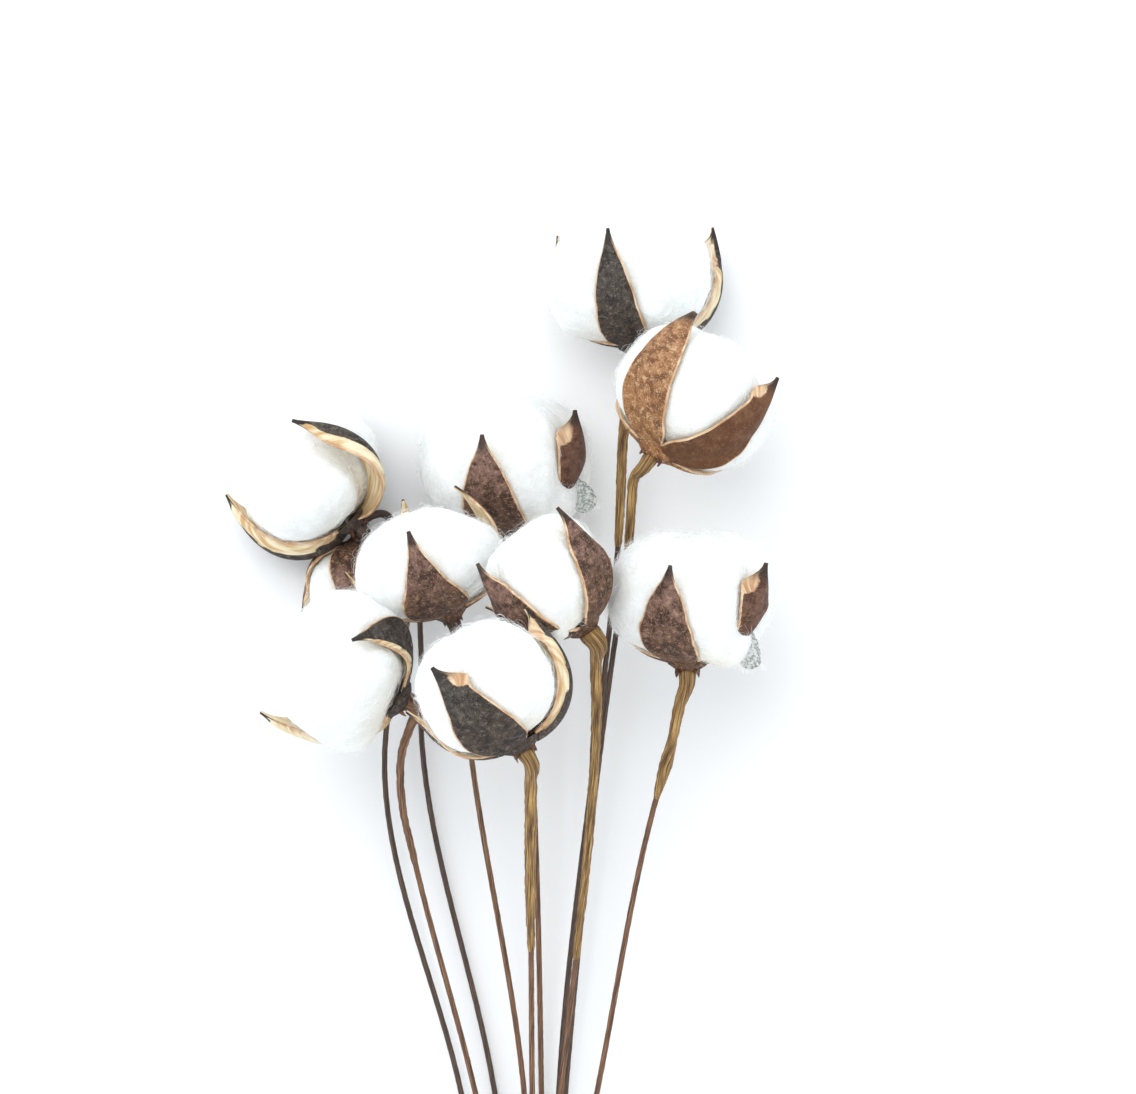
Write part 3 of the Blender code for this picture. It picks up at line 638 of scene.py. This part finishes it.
def valve_loops(boll, own, valve, number, seed):
    """Closed loops of points round a valve, root to tip, with the marks its material reads.

    The loops run over the inside from left to right, and back over the outside.
    """
    share = np.linspace(0.0, 1.0, VALVE_STATIONS + 1)
    spine = valve_spine(boll, own, valve, share)
    across, outward = (way[:, None] for way in valve_directions(own, valve, spine, share))
    wave = np.array([noise.noise(Vector((seed * 3.1, s * 9.0, 0.0))) for s in share])
    half = valve_half_width(valve, share) * (1 + 0.05 * wave * np.sin(math.pi * share))
    half = half[:, None]
    bow = 0.5 * half**2 / boll.half_width
    v = np.linspace(-1.0, 1.0, VALVE_COLUMNS + 1)[None, :]
    bulge = valve.hollow * np.sin(math.pi * (0.1 + 0.9 * share))[:, None]
    flare = abs(valve.wing) * np.exp(-(((share - WING_SHARE) / WING_SPREAD) ** 2))[:, None]
    wing_side = math.copysign(1.0, valve.wing)
    wing = flare * np.maximum(0.0, v * wing_side)
    lift = bulge * (1 - v**2) - bow * v**2
    inside = spine[:, None] + (v * half)[..., None] * across + lift[..., None] * outward
    inside = inside + (wing_side * wing)[..., None] * own.right
    inside = pushed_out(boll, own, inside, LINT_GAP)
    slim = np.minimum(1.0, half / SLIM_HALF_WIDTH)
    thick = VALVE_EDGE + (VALVE_BACK - VALVE_EDGE) * (1 - v**2) * slim
    roll = ROLLS.get((boll.name, number), (1, 0.0))
    pale, raised = rolled_margin(roll, seed, share, v, half)
    outside = inside + (thick + raised)[..., None] * outward
    fading = np.sin(math.pi * share)[:, None] ** 0.5 * slim
    midrib = MIDRIB[0] * np.exp(-((v / MIDRIB[1]) ** 2)) * fading
    inside = inside - midrib[..., None] * outward
    rim = RIM_BULGE * np.minimum(1.0, half)[..., None] * across
    left = (inside[:, :1] + outside[:, :1]) / 2 - rim
    right = (inside[:, -1:] + outside[:, -1:]) / 2 + rim
    loops = np.concatenate([inside, right, outside[:, ::-1], left], 1)

    flat = np.ones_like(half)
    line = v * flat
    places = np.concatenate([line, flat, line[:, ::-1], -flat], 1)
    inner = np.concatenate([np.ones_like(line), 0.5 * flat, pale[:, ::-1], 0.5 * flat], 1)
    winged = np.concatenate([wing, wing[:, -1:], wing[:, ::-1], wing[:, :1]], 1)
    edge = np.exp(-(1 - np.abs(places)) * half / CORK_REACH)
    edge = np.maximum(edge, np.clip(winged / CORK_ON_WING, 0.0, 1.0))
    length = np.concatenate([[0.0], np.cumsum(np.linalg.norm(np.diff(spine, axis=0), axis=1))])
    face = np.stack([inner, edge, share[:, None] + 0 * inner], -1)
    grain = np.stack([places * half, length[:, None] + 0 * inner, inner + seed * 7.3], -1)
    return loops, face, grain


def receptacle_loops(boll, own, seed):
    """The knobbly disc that the valves grow from."""
    size = boll.half_height / FULL_HALF_HEIGHT
    radii = [*RECEPTACLE_FOOT_RADII, *(radius * size for radius in RECEPTACLE_RADII)]
    given = range(len(radii))
    rows = np.linspace(0, len(radii) - 1, RECEPTACLE_ROWS)
    height, radius = np.interp(rows, given, RECEPTACLE_HEIGHTS), np.interp(rows, given, radii)
    around = np.linspace(0, math.tau, RECEPTACLE_SIDES, endpoint=False)
    knobs = 0.22 * np.sin(7 * around + seed) + 0.14 * np.sin(17 * around + 2 * seed)
    wide = radius[:, None] + knobs[None, :]
    return own.point(height[:, None] + 0 * wide, wide, around[None, :] + 0 * wide)


def build_tuft(name, root, tip, half_width, seed):
    """A torn flap of cotton that hangs out under a valve, with loose fibres round it."""
    rng = np.random.default_rng(600 + seed)
    root, tip = np.array(root, float), np.array(tip, float)
    along = unit(tip - root)
    side = unit(np.cross(along, (0.0, 0.0, 1.0)))
    up = np.cross(side, along)
    rows, columns = TUFT_ROWS, TUFT_SIDES
    share = np.linspace(0.0, 1.0, rows)[:, None]
    around = np.linspace(0.0, math.tau, columns, endpoint=False)[None, :]
    rounded = np.sqrt(np.clip(1.0 - share**5, 0.0, 1.0))
    half = half_width * (0.35 + 0.65 * share**0.7) * rounded + 0.05
    ragged = 1 + 0.10 * np.sin(5 * around + 9 * share + seed)
    ragged = ragged + 0.06 * rng.normal(size=(rows, columns))
    wide = half * ragged * np.cos(around)
    thick = 0.9 * ragged * np.sin(around) * np.sqrt(half / half_width)
    middle = root + share * (tip - root)
    points = middle[:, None] + wide[..., None] * side + thick[..., None] * up
    faces = skin_faces(rows, columns) + cap_faces(rows, columns)
    flap = make_piece(f"tuft_{name}", points, faces, GREY_COTTON)
    each = (TUFT_FIBRES, 1, 1)
    t = np.linspace(0, 1, FIBRE_POINTS)[None, :, None]
    start = rng.uniform(0.1, 1.0, each)
    spread = rng.uniform(-1, 1, each) * half_width * (0.4 + 0.6 * start)
    paths = root + start * (tip - root) + spread * side + rng.normal(0, 0.9, each) * up
    heading = unit(along + rng.normal(0, 0.8, (TUFT_FIBRES, 1, 3)))
    curl = rng.normal(0, 0.9, (TUFT_FIBRES, 1, 3))
    paths = paths + heading * TUFT_FIBRE_LENGTH * t + curl * t**2
    points, faces = ribbons(paths, FIBRE_WIDTH, rng), ribbon_faces(TUFT_FIBRES, FIBRE_POINTS)
    wisps = make_piece(f"tuft_fibres_{name}", points, faces, FLUFF)
    return [flap, wisps]


def build_bur(boll, own, seed):
    """The dry brown bur: its disc and pointed valves, as one growth."""
    grown = []
    for number, valve in enumerate(boll.valves):
        loops, face, grain = valve_loops(boll, own, valve, number, seed * 5 + number)
        grown.append((loops, face, grain, TONES.get((boll.name, number), 0.0)))
    disc = receptacle_loops(boll, own, seed)
    grown.append((disc, np.zeros_like(disc), disc, 0.0))
    faces, tones = [], []
    for loops, _, _, tone in grown:
        rows, columns = loops.shape[:2]
        faces += skin_faces(rows, columns, len(tones)) + cap_faces(rows, columns, len(tones))
        tones += [tone] * (rows * columns)
    points, face, grain = (
        np.concatenate([part[k].reshape(-1, 3) for part in grown]) for k in range(3)
    )
    marks = {"valve": face, "grain": grain, "tone": np.array(tones)}
    made = make_piece(f"husk_{boll.name}", points, faces, BURS[boll.bur], marks)
    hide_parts(f"bur_{boll.name}")
    return made


def build_calyx(boll, own, seed):
    """Dried calyx scraps that curl out under the bur."""
    rng = np.random.default_rng(300 + seed)
    size = boll.half_height / FULL_HALF_HEIGHT
    t = np.linspace(0, 1, CALYX_STATIONS)
    v = np.linspace(-1, 1, CALYX_COLUMNS)
    outlines = (CALYX_HEIGHTS, CALYX_RADII, CALYX_HALF_WIDTHS)
    along, radius, half = (np.interp(t, *outline)[:, None] * size for outline in outlines)
    points, faces = [], []
    for number, azimuth in enumerate(np.radians([60.0, 180.0, 300.0])):
        crumple = CALYX_CRUMPLE * rng.normal(size=(CALYX_STATIONS, CALYX_COLUMNS))
        height = along + 0.5 * v**2 + crumple
        lower = own.point(height, radius + 0 * height, azimuth + v * half / radius)
        upper = lower + CALYX_THICKNESS * own.axis
        points.append(np.concatenate([lower, upper[:, ::-1]], 1))
        rows, sides = points[-1].shape[:2]
        start = number * rows * sides
        faces += skin_faces(rows, sides, start) + cap_faces(rows, sides, start)
    points = np.concatenate(points).reshape(-1, 3)
    made = make_piece(f"calyx_{boll.name}", points, faces, CALYX, {"grain": points})
    return made


def wrapped_tube(name, route, radii, sides, winding, material, seed):
    """A tube along a route, wound with tape."""
    route, radii = np.array(route), np.array(radii)[:, None]
    pitch, lap, crinkle = winding
    ahead = np.concatenate([route[1:], route[-1:]])
    behind = np.concatenate([route[:1], route[:-1]])
    along = unit(ahead - behind)
    side = np.cross(along[0], (0.0, 0.0, 1.0))
    sides_of_route = []
    for heading in along:
        side = side - (side @ heading) * heading
        side = side / np.linalg.norm(side)
        sides_of_route.append(side)
    side = np.array(sides_of_route)
    up = np.cross(side, along)
    run = np.concatenate([[0.0], np.cumsum(np.linalg.norm(np.diff(route, axis=0), axis=1))])
    angle = np.linspace(0, math.tau, sides, endpoint=False)
    crinkles = []
    for s in run:
        spots = [(math.cos(a) * 2, math.sin(a) * 2, s / 2.2 + seed * 9) for a in angle]
        crinkles.append([noise.noise(Vector(spot)) for spot in spots])
    run = run[:, None]
    turns = np.mod(run / pitch - angle / math.tau, 1.0)
    wide = radii + lap * (turns - 0.5) + crinkle * np.array(crinkles)
    ring = np.cos(angle)[:, None] * side[:, None] + np.sin(angle)[:, None] * up[:, None]
    points = route[:, None] + wide[..., None] * ring
    grain = np.stack([angle * radii + run * GRAIN_SLANT, run + 0 * turns, turns], -1)
    faces = skin_faces(len(route), sides) + cap_faces(len(route), sides)
    return make_piece(name, points, faces, material, {"grain": grain.reshape(-1, 3)})


def gathered_points(boll):
    """Where a stem bends into line with the others, passes the gathering and ends."""
    column, row = boll.slot
    x = GATHER_X + (column - (BOTTOM_STEMS - 1 - row) / 2) * STEM_SPACING
    z = STEM_RADIUS * math.cos(math.pi / STEM_SIDES_OF_CAD)
    z += row * STEM_SPACING * math.sin(math.radians(60))
    from_x, _, from_z = boll.stem[-1]
    share = APPROACH_SHARE
    approach = (x + share * (from_x - x), GATHER_Y + APPROACH_LENGTH, z + share * (from_z - z))
    return [approach, (x, GATHER_Y, z), (x, boll.end_y, z)]


def build_stalk_and_stem(boll, own, seed):
    """The wrapped stalk under the bur and the thin stem that follows it."""
    start = own.point(RECEPTACLE_FOOT - STALK_GAP, 0.0, 0.0)
    lead = start - STALK_LEAD * own.axis
    route = [start, lead, *(point[:3] for point in boll.stalk), *boll.stem, *gathered_points(boll)]
    spans = len(boll.stalk) + 1
    steps = []
    for number, (before, after) in enumerate(zip(route, route[1:])):
        step = STALK_STEP if number < spans else STEM_STEP
        steps.append(max(1, round(math.dist(before, after) / step)))
    smooth = smooth_route(route, steps)
    split = sum(steps[:spans])
    upper, lower = smooth[: split + 1], smooth[split:]
    sheath = SHEATHS.get(boll.name, 1.0)
    given = [radius * sheath for radius in STALK_TOP_RADII] + [point[3] for point in boll.stalk]
    ends = np.concatenate([[0], np.cumsum(steps[:spans])])
    radii = np.interp(np.arange(split + 1), ends, given)
    upper = [start + own.axis, *upper, lower[1]]
    radii = [radii[0], *radii, STEM_RADIUS]
    stalk_tape, stem_tape = (TAPES[kind] for kind in WRAPS[boll.name])
    name = f"wrapped_stalk_{boll.name}"
    stalk = wrapped_tube(name, upper, radii, STALK_SIDES, STALK_WINDING, stalk_tape, seed)
    name = f"wrapped_stem_{boll.name}"
    radii = [STEM_RADIUS - 0.05] * len(lower)
    stem = wrapped_tube(name, lower, radii, STEM_SIDES, STEM_WINDING, stem_tape, seed + 50)
    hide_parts(f"stalk_{boll.name}")
    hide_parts(f"stem_{boll.name}")
    return stalk, stem


def linear(colour):
    """An sRGB hex colour as linear red, green, blue and alpha."""
    parts = [int(colour[k : k + 2], 16) / 255 for k in (1, 3, 5)]
    return (*(p / 12.92 if p <= 0.04045 else ((p + 0.055) / 1.055) ** 2.4 for p in parts), 1.0)


def set_up(tree, node, settings):
    """Gives a node its settings. Names in lower case are properties and the rest are inputs.

    An input gets a number, an sRGB hex colour or the output of another node.
    """
    for name, value in settings.items():
        if isinstance(name, str) and name.islower():
            setattr(node, name, value)
        elif isinstance(value, bpy.types.NodeSocket):
            tree.links.new(value, node.inputs[name])
        else:
            node.inputs[name].default_value = linear(value) if isinstance(value, str) else value
    return node


def add(tree, kind, settings):
    """Adds one node with its settings and links."""
    return set_up(tree, tree.nodes.new(kind), settings)


def new_material(name):
    material = bpy.data.materials.new(name)
    material.use_nodes = True
    return material, material.node_tree


def painted(tree, colour, coats):
    """Coats laid one over another on a first colour.

    A coat is a pattern, the values at which it starts and is full, how far it then covers, and
    its colour.
    """
    for pattern, start, full, cover, coat in coats:
        levels = {"interpolation_type": "SMOOTHSTEP", "From Min": start, "From Max": full}
        share = add(tree, "ShaderNodeMapRange", {**levels, "To Max": cover, "Value": pattern})
        mix = {"data_type": "RGBA", 0: share.outputs[0], 6: colour, 7: coat}
        colour = add(tree, "ShaderNodeMix", mix).outputs[2]
    return colour


def finished(material, settings, reliefs=()):
    """The material with its shader set up and reliefs laid one on another.

    A relief is its pattern, how strongly it shows, and its depth in millimetres.
    """
    tree = material.node_tree
    for pattern, strength, depth in reliefs:
        bump = {"Strength": strength, "Distance": depth * MM, "Height": pattern}
        if "Normal" in settings:
            bump["Normal"] = settings["Normal"]
        settings = {**settings, "Normal": add(tree, "ShaderNodeBump", bump).outputs[0]}
    set_up(tree, tree.nodes["Principled BSDF"], settings)
    return material


def cotton_material():
    """Raw cotton lint, as it opened in the boll: matt, very white and full of air.

    Light spreads inside it, so its shadows stay pale and a little cool. Down in the bur it has
    painted shade: it turns darker and creamier towards its base.
    """
    material, tree = new_material("raw cotton lint")
    place = add(tree, "ShaderNodeTexCoord", {}).outputs["Object"]
    # Locks are 4 mm across. Strands are much finer than 0.9 mm, and drawn so that they show.
    lock = {"Vector": place, "Scale": 1 / (4.0 * MM), "Detail": 3.0}
    lock = add(tree, "ShaderNodeTexNoise", lock).outputs[0]
    strand = {"Vector": place, "Scale": 1 / (0.9 * MM), "Detail": 4.0, "Distortion": 2.2}
    strand = add(tree, "ShaderNodeTexNoise", strand).outputs[0]
    height = add(tree, "ShaderNodeAttribute", {"attribute_name": "height"}).outputs["Fac"]
    # The second coat is painted shade: darker and creamier towards the base, down in the bur.
    coats = [(lock, 0.35, 0.70, 1.0, "#eceeec"), (height, 0.34, 0.12, 0.6, "#e6dcc2")]
    settings = {
        "Base Color": painted(tree, "#f5f7f6", coats),
        "Roughness": 1.0,
        "Specular IOR Level": 0.1,
        "Subsurface Weight": 0.55,
        "Subsurface Radius": (1.0, 1.0, 1.0),
        "Subsurface Scale": 2.5 * MM,
        "Sheen Weight": 0.25,
        "Sheen Roughness": 0.6,
    }
    return finished(material, settings, [(lock, 0.35, 0.35), (strand, 0.25, 0.20)])


def fluff_material():
    """Single cotton fibres: white, soft and half see-through against the light."""
    settings = {"Base Color": "#fafbfa", "Roughness": 1.0, "Specular IOR Level": 0.1, "Alpha": 0.75}
    return finished(new_material("loose cotton fibre")[0], settings)


def grey_cotton_material():
    """Grey cotton: matt, and full of pale specks."""
    material, tree = new_material("grey speckled cotton")
    place = add(tree, "ShaderNodeTexCoord", {}).outputs["Object"]
    # Pale specks of up to 0.8 mm.
    speck = {"Vector": place, "Scale": 1 / (0.8 * MM), "Detail": 4.0}
    speck = add(tree, "ShaderNodeTexNoise", speck).outputs[0]
    colour = painted(tree, "#8d8f8b", [(speck, 0.40, 0.60, 1.0, "#d2d5d2")])
    settings = {"Base Color": colour, "Roughness": 1.0, "Specular IOR Level": 0.1}
    return finished(material, settings, [(speck, 0.6, 0.4)])


def bur_material(name, dark, middle, warm, fleck):
    """Dried cotton bur: a thin woody husk, matt and finely speckled outside.

    It is warmer by the root and dark at the beak. Its torn edges are pale and corky, and its
    lining is smooth, creamy and streaked lengthwise.
    """
    material, tree = new_material(name)
    mark = add(tree, "ShaderNodeAttribute", {"attribute_name": "valve"}).outputs["Vector"]
    parts = add(tree, "ShaderNodeSeparateXYZ", {"Vector": mark})
    inner, edge, share = (parts.outputs[axis] for axis in "XYZ")
    tone = add(tree, "ShaderNodeAttribute", {"attribute_name": "tone"}).outputs["Fac"]
    grain = add(tree, "ShaderNodeAttribute", {"attribute_name": "grain"}).outputs["Vector"]
    # The grain is in millimetres. Blotches are 4.5 mm across and warts 1.7 mm and less. The
    # finest specks are about 0.1 mm, and drawn 0.45 mm across so that they show.
    blotch = {"Vector": grain, "Scale": 1 / 4.5, "Detail": 4.0, "Roughness": 0.6}
    wart = {"Vector": grain, "Scale": 1 / 1.7, "Detail": 5.0, "Roughness": 0.82}
    speck = {"Vector": grain, "Scale": 1 / 0.45, "Detail": 2.0, "Roughness": 0.7}
    # The veins of the lining are 0.7 mm wide and some 9 mm long.
    veins = {"Vector": grain, "Scale": (1 / 0.7, 1 / 9.0, 1.0)}
    veins = add(tree, "ShaderNodeMapping", veins).outputs[0]
    vein = {"Vector": veins, "Scale": 1.0, "Detail": 4.0}
    noises = (blotch, wart, speck, vein)
    blotch, wart, speck, vein = (add(tree, "ShaderNodeTexNoise", n).outputs[0] for n in noises)
    patchy = add(tree, "ShaderNodeMath", {"operation": "ADD", 0: share, 1: blotch}).outputs[0]
    outside = [
        (patchy, 1.35, 0.80, 1.00, warm),
        (blotch, 0.53, 0.40, 0.85, dark),
        (wart, 0.53, 0.63, 0.65, fleck),
        (speck, 0.58, 0.66, 0.70, fleck),
        (wart, 0.47, 0.38, 0.85, dark),
    ]
    body = {"data_type": "RGBA", 0: tone, 6: painted(tree, middle, outside), 7: "#57321b"}
    body = add(tree, "ShaderNodeMix", body).outputs[2]
    body = painted(tree, body, [(share, 0.86, 0.95, 0.8, "#2e2724")])
    lining = [(vein, 0.35, 0.70, 1.0, "#cda56c"), (share, 0.3, 0.0, 0.7, "#9a7038")]
    lining = painted(tree, "#f3e6c6", lining)
    cork = painted(tree, "#edd0ac", [(vein, 0.3, 0.7, 1.0, "#be8e66")])
    # The cork has a ragged border and stops short of the beak.
    ragged = {"operation": "MULTIPLY_ADD", 0: wart, 1: 0.45, 2: edge}
    ragged = add(tree, "ShaderNodeMath", ragged).outputs[0]
    fading = {"interpolation_type": "SMOOTHSTEP", "From Min": 0.97, "From Max": 0.86}
    fading = add(tree, "ShaderNodeMapRange", {**fading, "Value": share}).outputs[0]
    both = [(inner, 0.6, 0.9, 1.0, lining), (ragged, 0.95, 1.14, fading, cork)]
    colour = painted(tree, body, both)
    settings = {"Base Color": colour, "Roughness": 0.72, "Specular IOR Level": 0.35}
    return finished(material, settings, [(wart, 0.7, 0.30), (vein, 0.5, 0.35)])


def calyx_material():
    """Dried calyx: thin leaf, shrivelled and dark red-brown with a slight shine."""
    material, tree = new_material("dried calyx leaf")
    grain = add(tree, "ShaderNodeAttribute", {"attribute_name": "grain"}).outputs["Vector"]
    # Creases are 1.1 mm apart.
    crease = {"Vector": grain, "Scale": 1 / 1.1, "Detail": 4.0}
    crease = add(tree, "ShaderNodeTexNoise", crease).outputs[0]
    colour = painted(tree, "#3a2019", [(crease, 0.35, 0.65, 1.0, "#7a4a2c")])
    return finished(material, {"Base Color": colour, "Roughness": 0.45}, [(crease, 0.7, 0.3)])


def tape_material(name, dark, middle, light, lap):
    """Waxed crepe tape wound over wire: streaked along its length, darker where turns overlap."""
    material, tree = new_material(name)
    grain = add(tree, "ShaderNodeAttribute", {"attribute_name": "grain"}).outputs["Vector"]
    turn = add(tree, "ShaderNodeSeparateXYZ", {"Vector": grain}).outputs["Z"]
    # The crepe's wrinkles are 0.34 mm wide and some 12 mm long.
    wrinkles = {"Vector": grain, "Scale": (1 / 0.34, 1 / 12.0, 0.0)}
    wrinkles = add(tree, "ShaderNodeMapping", wrinkles).outputs[0]
    streak = {"Vector": wrinkles, "Scale": 1.0, "Detail": 5.0, "Roughness": 0.6}
    streak = add(tree, "ShaderNodeTexNoise", streak).outputs[0]
    coats = [
        (streak, 0.38, 0.52, 1.0, middle),
        (streak, 0.52, 0.66, 1.0, light),
        (turn, 0.80, 1.00, lap, dark),
    ]
    settings = {"Base Color": painted(tree, dark, coats), "Roughness": 0.6}
    return finished(material, settings, [(streak, 0.6, 0.3)])


def build_table():
    """A plain pale table top under the bunch."""
    size = TABLE_HALF_WIDTH
    corners = [(-size, -size, 0), (size, -size, 0), (size, size, 0), (-size, size, 0)]
    mesh = bpy.data.meshes.new("table_top")
    mesh.from_pydata(corners, [], [(0, 1, 2, 3)])
    board = {"Base Color": "#fbfbfb", "Roughness": 1.0, "Specular IOR Level": 0.0}
    mesh.materials.append(finished(new_material("matt white board")[0], board))
    table = bpy.data.objects.new("table_top", mesh)
    bpy.context.scene.collection.objects.link(table)


def build_light():
    """Soft, even studio light from above, with a little more from the head of the bunch."""
    world = bpy.data.worlds.new("studio")
    world.use_nodes = True
    tree = world.node_tree
    set_up(tree, tree.nodes["Background"], {"Color": "#f6fbff", "Strength": SKY_STRENGTH})
    bpy.context.scene.world = world
    light = bpy.data.lights.new("softbox_above", "AREA")
    light.size = LAMP_SIZE
    light.energy = LAMP_POWER
    lamp = bpy.data.objects.new("softbox_above", light)
    lamp.location = LAMP_PLACE
    lamp.rotation_euler = (Vector(AIM) - Vector(LAMP_PLACE)).to_track_quat("-Z", "Y").to_euler()
    bpy.context.scene.collection.objects.link(lamp)


def build_camera():
    """A long lens, straight above the bunch."""
    lens = bpy.data.cameras.new("camera")
    lens.lens = lens.sensor_width * (CAMERA_HEIGHT - AIM[2]) / VIEW_WIDTH
    lens.clip_end = 20.0
    camera = bpy.data.objects.new("camera", lens)
    camera.location = (AIM[0], AIM[1], CAMERA_HEIGHT)
    bpy.context.scene.collection.objects.link(camera)
    bpy.context.scene.camera = camera
    # Plain colours, as a product picture is developed.
    bpy.context.scene.view_settings.view_transform = "Standard"


COTTON = cotton_material()
FLUFF = fluff_material()
GREY_COTTON = grey_cotton_material()
CALYX = calyx_material()
BURS = {kind: bur_material(f"{kind} cotton bur", *colours) for kind, colours in BUR_COLOURS.items()}
TAPES = {kind: tape_material(f"{kind} floral tape", *look) for kind, look in TAPE_LOOKS.items()}

for number, boll in enumerate(BOLLS):
    own = Frame(boll)
    parts = [build_lint(boll, own, number), build_fluff(boll, own, number)]
    parts += [build_bur(boll, own, number), build_calyx(boll, own, number)]
    parts += build_stalk_and_stem(boll, own, number)
    for part in parts:
        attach(part, "root")

for number, (name, root, tip, half_width) in enumerate(TUFTS):
    for part in build_tuft(name, root, tip, half_width, number):
        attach(part, "root")

build_table()
build_light()
build_camera()
bpy.context.view_layer.update()
